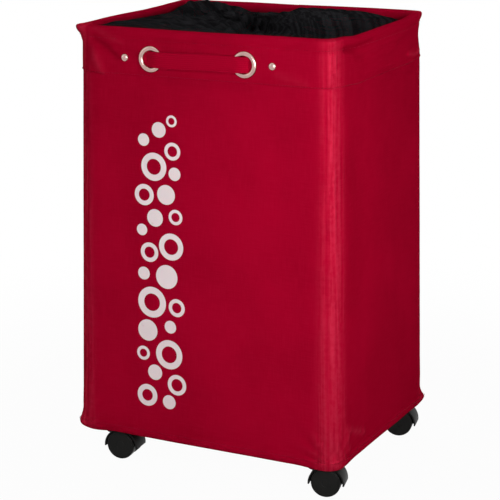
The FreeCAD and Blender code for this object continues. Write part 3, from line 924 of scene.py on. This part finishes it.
def bandPoint(u, v, lift=0.0):
    out, z = alongPath(bandProfile, bandLengths, v)
    outside = v <= overTop
    # outside it follows the cloth's own outline, inside it keeps to the rim's tube
    inner = gently(-out, 0.0020, 0.0100) if z > 0.588 else float(not outside)
    half = [a + (b - a) * inner for a, b in zip(wallHalf(z), frameHalf(z))]
    spot = spotAt(u, half)
    if outside:
        fade = 1 - gently(z, 0.583, 0.592)
        out += foldDepth(spot, u, z) * (0.35 + 0.65 * fade) + lift
        # the ear is drawn out of the rim's outer side, and its top stays over the tube
        ear = gently(z, 0.578, 0.6028) * (1 - gently(-out, 0.0026, 0.0050)) * band["ears"][spot.corner]
        out += (earShape(spot, band["earReach"]) + 0.0050 * hill(spot.away, 0.006)) * ear
        z += 0.0008 * ear * hill(spot.away, 0.012)
        # puckers between the hem's stitches
        out += 0.00030 * math.sin(2 * math.pi * u / band["puckerPitch"]) * hill(z - 0.5895, 0.006)
        out += 0.00050 * uneven(u * 95, z * 60, 1.3) * hill(z - 0.5915, 0.008)
    else:
        out += 0.0006 * uneven(u * 60, z * 40, 9.3)
    crest = 0.0007 * uneven(u * 11, 4.4, 0) * gently(z, 0.590, 0.600)
    crest += rimLift(spot.x, spot.y) * (1.0 if outside else gently(z, 0.589, 0.603))
    if outside:
        crest -= band["deeper"] * (1 - gently(z, 0.5470, 0.5860))
    return spot.outward(out, z + crest)


topBand = makeSheet(
    "topBand", (girth, bandWide), band, bandPoint, redCloth,
    "red_cloth", "hem_front", "hem_right", "hem_back", "hem_left",
    creased=lambda u, v: creaseMark(u, alongPath(bandProfile, bandLengths, v)[1]) if v <= overTop else 0.0,
)
print("band made")


# The base cover turns up over the board's edge and hangs a little under it.
roll = {
    "columns": 250,
    "rows": 14,
    "rise": 0.0022,       # how much higher its lowest edge lies between the corners
    "cornerRise": {"front_left": -0.0006, "back_left": 0.0004, "back_right": 0.0018, "front_right": 0.0002},
}
rollProfile = [
    (0.0002, 0.0600), (0.0004, 0.0592), (0.0007, 0.0555), (0.0011, 0.0515), (0.0009, 0.0475),
    (0.0001, 0.0445), (-0.0016, 0.0422), (-0.0045, 0.0413), (-0.0075, 0.0422), (-0.0110, 0.0440),
    (-0.0150, 0.0449),
]
rollLengths = pathLengths(rollProfile)
rollWide = rollLengths[-1]


def rollPoint(u, v, lift=0.0):
    out, z = alongPath(rollProfile, rollLengths, v)
    spot = spotAt(u, wallHalf(max(z, base["low"])))
    outside = gently(out, -0.004, 0.0)
    out += foldDepth(spot, u, z) * gently(z, 0.0440, 0.0535)
    out += baseEar(spot, z) * outside
    out += (0.0006 * uneven(u * 30, z * 30, 2.2) + lift) * outside
    droop = 0.0009 * uneven(u * 9, 0, 5.5) * gently(0.050 - z, 0, 0.006) * outside
    beside = gently(abs(spot.away), 0.022, 0.060)
    rise = roll["rise"] * beside + roll["cornerRise"][spot.corner] * (1 - beside)
    droop += rise * gently(0.058 - z, 0, 0.010)
    nearCastor = hill(abs(spot.away) - 0.040, 0.020)    # it hangs clear of the castors
    z += droop - 0.0006 * (1 - nearCastor) * hill(out + 0.004, 0.004)
    return spot.outward(out, z)


baseRoll = makeSheet("baseRoll", (girth, rollWide), roll, rollPoint, redCloth, "red_piping", "base_piping")


underWide, underDeep = 2 * (base["halfX"] - base["turnIn"]), 2 * (base["halfY"] - base["turnIn"])


def underPoint(u, v):
    x, y = u - underWide / 2, v - underDeep / 2
    radius = rim["corner"] - base["turnIn"]
    flatX, flatY = underWide / 2 - radius, underDeep / 2 - radius
    overX, overY = abs(x) - flatX, abs(y) - flatY
    if overX > 0 and overY > 0:   # draws the square corner in to a round one
        square, rounded = max(overX, overY), math.hypot(overX, overY)
        x = math.copysign(flatX + overX * square / rounded, x)
        y = math.copysign(flatY + overY * square / rounded, y)
    ripple = 0.00016 * uneven(x * 26, y * 26, 0.7)
    return Vector((x, y, base["under"] - 0.0003 + ripple))


baseCloth = cutCloth("baseCloth", underWide, underDeep, base)
layCloth(baseCloth, underWide, underDeep, underPoint)
turnOver(baseCloth)
dress(baseCloth, redCloth, None)
fit(baseCloth, "bag", "red_cloth", "base_cover")
print("base made")


# Pole sleeves stand inside the corners.
sleeve = {
    "low": 0.079, "high": 0.572, "lap": 0.0445, "columns": 18, "rows": 60,
    # from the lap on the wide wall towards the corner, and inward
    "plan": [
        (0.0, 0.0022), (0.0060, 0.0024), (0.0150, 0.0068), (0.0262, 0.0180), (0.0374, 0.0292),
        (0.0420, 0.0385), (0.0422, 0.0445),
    ],
}


def makeSleeve(corner):
    signX = 1 if "right" in corner else -1
    signY = 1 if "back" in corner else -1
    tall = sleeve["high"] - sleeve["low"]
    lengths = pathLengths(sleeve["plan"])
    wide = lengths[-1]

    def place(u, v):
        z = sleeve["low"] + v
        halfX, halfY = frameHalf(z)
        along, inward = alongPath(sleeve["plan"], lengths, u)
        x = halfX - sleeve["lap"] + along
        y = halfY - inward
        bow = 0.0005 * uneven(u * 60, z * 12, cornerNames.index(corner) * 3.0)
        return Vector((signX * (x + bow), signY * (y + bow), z))

    piece = makeSheet(
        "poleSleeve_" + corner, (wide, tall), sleeve, place, redCloth,
        "red_cloth", "pole_sleeve_" + corner, closed=False,
    )


for corner in cornerNames:
    makeSleeve(corner)


# The net cover is drawn shut.
net = {
    "edge": (-0.0112, 0.5925),       # from the rim's outer face, and height
    "mouth": (-0.018, 0.022),        # middle of the drawn mouth
    "mouthHalf": (0.026, 0.014),
    "neckZ": 0.5945,
    "columns": 330,
    "rows": 46,
    "drop": 0.165,                   # cloth between the hem and the drawn mouth
    "ruffle": 0.0165,                # cloth that stands up past it
    "pleats": 34,
    "scallops": 17,
    "share": 0.93,                   # of the outline's girth
    "taper": 0.48,                   # how much narrower the four gores are at the drawn end
    "lobes": [
        # middle x and y, half width x and y, height
        (-0.140, 0.112, 0.062, 0.035, 0.0150), (-0.090, 0.055, 0.045, 0.045, 0.0045),
        (0.066, 0.090, 0.086, 0.055, 0.0130), (0.030, -0.075, 0.090, 0.050, 0.0050),
        (-0.120, -0.095, 0.070, 0.045, 0.0050),
    ],
}
netDeep = net["drop"] + net["ruffle"]
netWide = girth * net["share"]


def netPoint(u, v):
    spot = spotAt(u, (rim["halfX"], rim["halfY"]))
    out, edgeZ = net["edge"]
    forward = 0.5 - 0.5 * spot.y / rim["halfY"]
    edgeZ += 0.5 * rimLift(spot.x, spot.y) + gently(-spot.x, 0.02, 0.17) * (0.0095 * forward - 0.0025)
    edgeX, edgeY = spot.x + spot.normal[0] * out, spot.y + spot.normal[1] * out
    mouthX, mouthY = net["mouth"]
    share = min(1.0, v / net["drop"])
    past = max(0.0, (v - net["drop"]) / net["ruffle"])
    angle = math.atan2(edgeY - mouthY, edgeX - mouthX)
    outward = Vector((math.cos(angle), math.sin(angle), 0))
    sideways = Vector((-outward.y, outward.x, 0))
    halfX, halfY = net["mouthHalf"]
    neck = Vector((mouthX + halfX * outward.x, mouthY + halfY * outward.y, net["neckZ"]))
    spread = 1 - (1 - share) ** 1.12
    point = Vector((edgeX, edgeY, edgeZ)).lerp(neck, spread)
    rise = 0.0
    for lobeX, lobeY, wideX, wideY, tall in net["lobes"]:
        rise += tall * math.exp(-((point.x - lobeX) / wideX) ** 4 - ((point.y - lobeY) / wideY) ** 2)
    nearEdge = gently(share, 0.0, 0.11)
    point.z += rise * nearEdge * (1 - 0.75 * gently(share, 0.70, 1.0))
    # a dip that runs from front to back through the mouth
    point.z -= 0.0050 * hill(point.x - 0.004, 0.018) * nearEdge * (1 - past)
    # pleats run in to the mouth and deepen towards it
    turn = u / girth * 2 * math.pi * net["pleats"] + 2.0 * uneven(u * 9, v * 8, 0.2)
    pleat = math.sin(turn) + 0.35 * math.sin(turn * 0.47 + 1.3)
    depth = 0.0034 * gently(share, 0.04, 0.75) + 0.0010 * gently(share, 0.0, 0.10)
    point.z += pleat * depth * (1 - gently(past, 0.0, 0.35))
    point += sideways * math.cos(turn) * 0.0016 * share
    crumple = 0.0050 * uneven(point.x * 34, point.y * 34, 6.1)
    crumple += 0.0024 * uneven(point.x * 85, point.y * 85, 2.6)
    point.z += crumple * gently(share, 0.04, 0.30) * (1 - past)
    if past:
        # the drawn-up edge stands and opens out in soft scallops
        fold = u / girth * 2 * math.pi * net["scallops"] + 1.6 * uneven(u * 7, 0.4, 3.0)
        reach = 0.008 * past ** 1.5 + 0.0075 * math.sin(fold) * gently(past, 0.0, 0.8)
        reach += 0.004 * past * uneven(u * 11, past, 3.3)
        point += outward * (reach - 0.003 * math.sin(math.pi * min(1.0, past * 2.2)))
        point += sideways * 0.004 * past * math.cos(fold)
        point.z += net["ruffle"] * past * (0.66 + 0.28 * uneven(u * 5.5, 0.4, 8.8))
    return point


netCover = makeSheet(
    "netCover", (netWide, netDeep), net, lambda u, v: netPoint(u / net["share"], v), netCloth,
    "black_net", "net_cover", "net_collar", narrowed=net["taper"],
)
netArea = netWide * netDeep * (1 - net["taper"] / 2)
print("net made")


handle = {
    "shift": -0.0067, "drop": 0.038, "eyeletSpan": 0.136, "rivetSpan": 0.214,
    "strapWide": 0.0215, "strapThick": 0.0017, "lift": 0.0018, "tilt": 1.1,
    "eyeletRadius": 0.0141, "rivetRadius": 0.0050, "seat": 0.0009,
    "gripOut": 0.0045, "gripHalf": 0.056,      # the loose grip: how far out it lies, half its length
    "columns": 64, "rows": 10,
}


# The wall's own frame: X along it, Y up it, Z out of it.
def onWall(side):
    z = rim["top"] - handle["drop"]
    out = wallHalf(z)[1]
    lean = math.atan2(base["halfY"] - rim["halfY"], rim["top"] - base["low"])
    turn = Matrix.Rotation(math.pi if side == "back" else 0, 4, "Z")
    tilt = Matrix.Rotation(math.radians(-handle["tilt"] if side == "back" else handle["tilt"]), 4, "Z")
    place = Matrix.Translation((handle["shift"], -out, z + handle["lift"]))
    return turn @ place @ Matrix.Rotation(math.pi / 2 - lean, 4, "X") @ tilt


def setOn(piece, matrix):
    piece.matrix_world = matrix
    settle(piece)


def makeEyelet():
    deselectAll()
    bpy.ops.mesh.primitive_torus_add(
        major_segments=72, minor_segments=24, major_radius=handle["eyeletRadius"], minor_radius=0.0034
    )
    piece = newest("eyelet")
    piece.scale = (1, 1, 0.90)
    settle(piece)
    cutBelow(piece, 0.00005)
    # the barrel goes in through the cloth and curls over the washer
    pick(piece, "edges", lambda edge: edge.is_boundary and edge.verts[0].co.to_2d().length < 0.0130)
    drawOut([(-0.0013, 1.0), (-0.0014, 1.02), (-0.0006, 1.07), (0.0003, 1.07)])
    faceOut(piece)
    workOn(piece)
    return piece


def makeRivet():
    deselectAll()
    bpy.ops.mesh.primitive_uv_sphere_add(segments=40, ring_count=20, radius=handle["rivetRadius"])
    piece = newest("rivet")
    piece.scale = (1, 1, 0.50)
    settle(piece)
    cutBelow(piece, 0.0003)
    pick(piece, "edges", lambda edge: edge.is_boundary)
    drawOut([(-0.0003, 1.04), (-0.0003, 0.94), (0.0, 0.42), (-0.0046, 1.0), (0.0, 2.2), (-0.0010, 0.95)])
    bpy.ops.mesh.edge_face_add()
    workOn(piece)
    return piece


# along the wall from the strap's middle, and out of it
strapRun = [
    (0.0, 0.0047), (0.020, 0.0046), (0.040, 0.0044), (0.052, 0.0044), (0.0580, 0.0042),
    (0.0620, 0.0034), (0.0660, 0.0023), (0.0700, 0.0010), (0.0740, -0.0006), (0.0785, -0.0026),
    (0.0850, -0.0040), (0.114, -0.0040),
]
strapLengths = pathLengths(strapRun)


def makeHalfStrap(side, way):
    name = "strap_%s_%s" % (side, "right" if way > 0 else "left")
    piece = cutCloth(name, strapLengths[-1], handle["strapWide"], handle)

    def place(u, v):
        along, out = alongPath(strapRun, strapLengths, u)
        across = v - handle["strapWide"] / 2
        inHole = hill(along - 0.068, 0.010)
        cup = 0.0016 * inHole * (across / 0.0107) ** 2
        wave = 0.00045 * uneven(along * way * 28, across * 20, 1.0 if side == "front" else 4.0)
        visible = 1 - gently(along, 0.052, 0.060)
        rock = 0.00035 * math.sin(along * way * 46 + 0.6) * visible
        return Vector((along * way, across * (1 - 0.04 * inHole) + rock, out + cup + wave))

    layCloth(piece, strapLengths[-1], handle["strapWide"], place)
    shapeWith(piece, "SUBSURF", levels=1, render_levels=1)
    if way < 0:
        turnOver(piece)
    shapeWith(piece, "SOLIDIFY", thickness=handle["strapThick"], offset=0)
    roundEdges(piece, 0.0005, 2, 50)
    dress(piece, webbing)
    # the weave runs lengthwise, measured from the strap's middle line
    for corner in piece.data.uv_layers["flat"].data:
        corner.uv = (corner.uv[0], corner.uv[1] - handle["strapWide"] / 2)
    setOn(piece, onWall(side))
    middle = onWall(side) @ Vector((0, 0, handle["gripOut"]))
    atEyelet = onWall(side) @ Vector((way * handle["gripHalf"], 0, handle["gripOut"]))
    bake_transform(piece)
    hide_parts("strap_grip_" + side, "strap_ends_" + side)


eyeletStart, rivetStart = makeEyelet(), makeRivet()
for side in ("front", "back"):
    for way in (-1, 1):
        name = side + ("_right" if way > 0 else "_left")
        for start, half, title, node in (
            (eyeletStart, handle["eyeletSpan"] / 2, "eyelet_", "eyelets"),
            (rivetStart, handle["rivetSpan"] / 2, "rivet_", "rivets"),
        ):
            piece = copyPiece(start, title + name)
            setOn(piece, onWall(side) @ Matrix.Translation((way * half, 0, handle["seat"])))
            dress(piece, chrome)
            fit(piece, "bag", "chrome", node)
        makeHalfStrap(side, way)
for start in (eyeletStart, rivetStart):
    bpy.data.objects.remove(start)
print("handles made")


stitching = {
    "long": 0.0030, "gap": 0.0011, "thick": 0.00042,
    "hem": 0.5893, "band": 0.5487, "roll": 0.0545,      # where the seams lie up the profiles
}


# One stitch is modelled and repeated all round the bag, along the line that place gives.
def makeStitches(name, place):
    deselectAll()
    bpy.ops.mesh.primitive_cylinder_add(
        vertices=6, radius=stitching["thick"], depth=stitching["long"], end_fill_type="TRIFAN",
        rotation=(0, math.pi / 2, 0),
    )
    one = newest(name)
    settle(one)
    workOn(one, "EDIT")
    pick(one, "verts", lambda end: abs(end.co.x) > 0.4 * stitching["long"] and end.co.yz.length < 0.0001)
    bpy.ops.transform.resize(value=(1.18, 1, 1), center_override=(0, 0, 0))
    pick(one, "verts", lambda vertex: vertex.co.yz.length > 0.0001)
    bpy.ops.transform.resize(value=(0.8, 1, 1), center_override=(0, 0, 0))
    workOn(one)
    pitch = stitching["long"] + stitching["gap"]
    total = int(girth / pitch)
    row = bmesh.new()
    for index in range(total):
        centre = girth * (index + 0.5) / total
        start, end = place(centre - pitch * 0.36), place(centre + pitch * 0.36)
        up = place(centre, 1) - place(centre, 0)
        across = (end - start).normalized()
        side = up.cross(across).normalized()
        up = across.cross(side).normalized()
        turn = Matrix((across, side, up)).transposed().to_4x4()
        spot = Matrix.Translation((start + end) / 2 + up * stitching["thick"] * 0.35) @ turn
        lump = one.data.copy()
        lump.transform(spot)
        row.from_mesh(lump)
        bpy.data.meshes.remove(lump)
    row.to_mesh(one.data)
    row.free()
    dress(one, redThread, 60)
    fit(one, "bag", "red_cloth")


for name, point, profile, lengths in (
    ("hem", bandPoint, bandProfile, bandLengths), ("band", bandPoint, bandProfile, bandLengths),
    ("roll", rollPoint, rollProfile, rollLengths),
):
    seam = distanceTo(profile, lengths, stitching[name])
    makeStitches(name + "Stitches", lambda u, up=0: point(u, seam, up * 0.001))
print("stitches made")


# A castor is built round its swivel at the origin, with the wheels trailing along X.
castor = {
    "trail": 0.016, "wheelRadius": 0.020, "wheelWide": 0.011, "wheelNear": 0.0055,
    "hoodRadius": 0.0245, "hoodZ": 0.0179, "hoodWide": 0.030, "hoodWall": 0.0020, "lipZ": 0.016,
    "webThick": 0.010, "webRadius": 0.0228, "bossRadius": 0.007, "neckRadius": 0.006, "neckStart": 0.0165,
    "crownZ": 0.0424, "treadRound": 0.0012,
    # steps of a wheel's faces: how far each is inset, then how far it moves out
    "face": [(0.0022, 0), (0.0003, -0.00035), (0.0004, 0.00025), (0.0110, 0), (0.0005, -0.0003)],
    "channel": [(0.0024, 0.0060), (0.0120, -0.0058), (0.0035, 0.0070)],
}


def addCylinder(name, radius, depth, place, upright=False, vertices=96, ends="NGON"):
    deselectAll()
    bpy.ops.mesh.primitive_cylinder_add(
        vertices=vertices, radius=radius, depth=depth, location=place, end_fill_type=ends,
        rotation=(0, 0, 0) if upright else (math.pi / 2, 0, 0),
    )
    piece = newest(name)
    settle(piece)
    return piece


def makeHood():
    centre = (castor["trail"], 0, castor["hoodZ"])
    shell = addCylinder("hoodShell", castor["hoodRadius"], castor["hoodWide"], centre, ends="NOTHING")
    cutBelow(shell, castor["lipZ"])
    shapeWith(shell, "SOLIDIFY", thickness=castor["hoodWall"], offset=-1)
    roundEdges(shell, 0.0007, 3, 40)
    web = addCylinder("hoodWeb", castor["webRadius"], castor["webThick"], centre)
    cutBelow(web, castor["lipZ"], fill=True)
    roundEdges(web, 0.0004, 2, 40)
    axle = (castor["trail"], 0, castor["wheelRadius"])
    boss = addCylinder("hoodBoss", castor["bossRadius"], castor["webThick"] + 0.0006, axle, vertices=48)
    roundEdges(boss, 0.0004, 2, 40)
    neckLow = castor["hoodZ"] + castor["neckStart"]
    neckMiddle = (0, 0, (castor["crownZ"] + neckLow) / 2)
    neck = addCylinder(
        "hoodNeck", castor["neckRadius"], castor["crownZ"] - neckLow, neckMiddle, upright=True, vertices=64
    )
    workOn(neck, "EDIT")
    pick(neck, "faces", lambda face: face.normal.z > 0.9)
    bpy.ops.mesh.inset(thickness=0.0007)
    bpy.ops.transform.translate(value=(0, 0, 0.0003))
    pick(neck, "faces", lambda face: face.normal.z < -0.9)
    bpy.ops.transform.resize(value=(1.75, 1.75, 1), center_override=(0, 0, 0))
    workOn(neck)
    roundEdges(neck, 0.0004, 2, 35)
    return joinPieces([shell, web, boss, neck], "hood")


def makeWheel(way):
    near, wide = castor["wheelNear"], castor["wheelWide"]
    middle = (castor["trail"], way * (near + wide / 2), castor["wheelRadius"])
    wheel = addCylinder("wheel", castor["wheelRadius"], wide, middle)
    axle = Vector((castor["trail"], 0, castor["wheelRadius"]))
    workOn(wheel, "EDIT")
    # the outer face: bevelled rim, a fine step, and a flat cap with a shallow middle
    pick(wheel, "faces", lambda face: face.normal.y * way > 0.9 and len(face.verts) > 20)
    for inset, move in castor["face"]:
        bpy.ops.mesh.inset(thickness=inset)
        if move:
            bpy.ops.transform.translate(value=(0, move * way, 0))
    # the inner face: a deep channel between the tread and the hub
    pick(wheel, "faces", lambda face: face.normal.y * way < -0.9 and len(face.verts) > 20)
    for inset, move in castor["channel"]:
        bpy.ops.mesh.inset(thickness=inset)
        bpy.ops.mesh.extrude_region_move(TRANSFORM_OT_translate={"value": (0, move * way, 0)})

    def onRim(edge):
        first, second = (vertex.co for vertex in edge.verts)
        reach = min(math.hypot(end.x - axle.x, end.z - axle.z) for end in (first, second))
        return reach > castor["wheelRadius"] - 0.0001 and abs(first.y - second.y) < 0.0001

    pick(wheel, "edges", onRim)
    bpy.ops.mesh.bevel(offset=castor["treadRound"], segments=3, affect="EDGES")
    faceOut(wheel)
    workOn(wheel)
    return wheel


hoodStart = makeHood()
wheelStarts = {"front": makeWheel(-1), "back": makeWheel(1)}
joints = {joint["name"]: joint for joint in frame["joints"]}
for corner in cornerNames:
    name = "castor_" + corner
    stem = Vector(joints[name + "_swivel"]["pos_m"])
    axle = joints[name + "_wheel_front_spin"]["axis"]
    heading = math.atan2(-axle[0], axle[1])
    place = Matrix.Translation((stem.x, stem.y, 0)) @ Matrix.Rotation(heading, 4, "Z")
    hood = copyPiece(hoodStart, "hood_" + corner)
    setOn(hood, place)
    dress(hood, hoodPlastic)
    fit(hood, name, "castor_plastic", name + "_hood")
    for which, start in wheelStarts.items():
        wheel = copyPiece(start, "wheel_%s_%s" % (corner, which))
        setOn(wheel, place)
        dress(wheel, wheelPlastic, 30)
        fit(wheel, name + "_wheel_" + which, "wheel_plastic", name + "_wheel_" + which)
for start in (hoodStart, *wheelStarts.values()):
    bpy.data.objects.remove(start)
print("castors made")


# Finishes for the pieces whose modelled shape stays.
finishes = {
    "steel_tube": coatedSteel, "corner_plastic": cornerPlastic, "board": fibreBoard, "zinc_steel": zinc,
    "castor_plastic": hoodPlastic, "wheel_plastic": wheelPlastic, "chrome": chrome, "red_cloth": redCloth,
    "red_strap": webbing, "red_piping": redCloth, "black_net": netCloth,
}
for part in frame["record"]["subparts"]:
    node = nodes[part["node"]]
    finish = finishes[part["material_slot"]]
    if node.material_slots:
        for slot in node.material_slots:
            slot.material = finish
    else:
        node.data.materials.append(finish)


floorPaint = Paint("paleFloor", specular=0.1, roughness=0.9)
mottle = floorPaint.grain(floorPaint.place(), 3.0, 2)
floorPaint.finish(colour=floorPaint.blend(mottle, rgb(0.61, 0.61, 0.61), rgb(0.63, 0.63, 0.63)))
far = floorPaint.add("ShaderNodeVectorMath", {"operation": "LENGTH"}, {0: floorPaint.place()}, out=1)
glowShare = studio["floorGlow"] + (1 - studio["floorGlow"]) * floorPaint.fade(far, *studio["glowFull"])
glow = floorPaint.add("ShaderNodeEmission", None, {"Color": (1, 1, 1, 1), "Strength": 1.0})
mixed = floorPaint.add(
    "ShaderNodeMixShader", None,
    {0: floorPaint.seen() * glowShare, 1: Signal(floorPaint, floorPaint.shader.outputs[0]), 2: glow},
)
floorPaint.tree.links.new(mixed.socket, floorPaint.tree.nodes["Material Output"].inputs["Surface"])
deselectAll()
bpy.ops.mesh.primitive_plane_add(size=60, location=(0, 0, 0))
floor = newest("floor")
floor.data.materials.append(floorPaint.material)

world = bpy.context.scene.world or bpy.data.worlds.new("world")
bpy.context.scene.world = world
world.use_nodes = True
sky = Nodes(world.node_tree)
background = sky.tree.nodes["Background"]
strength = sky.add(
    "ShaderNodeMapRange", None, {"Value": sky.seen(), "To Min": studio["worldLight"], "To Max": 1.0}
)
background.inputs["Color"].default_value = (1, 1, 1, 1)
sky.tree.links.new(strength.socket, background.inputs["Strength"])

print("finished")
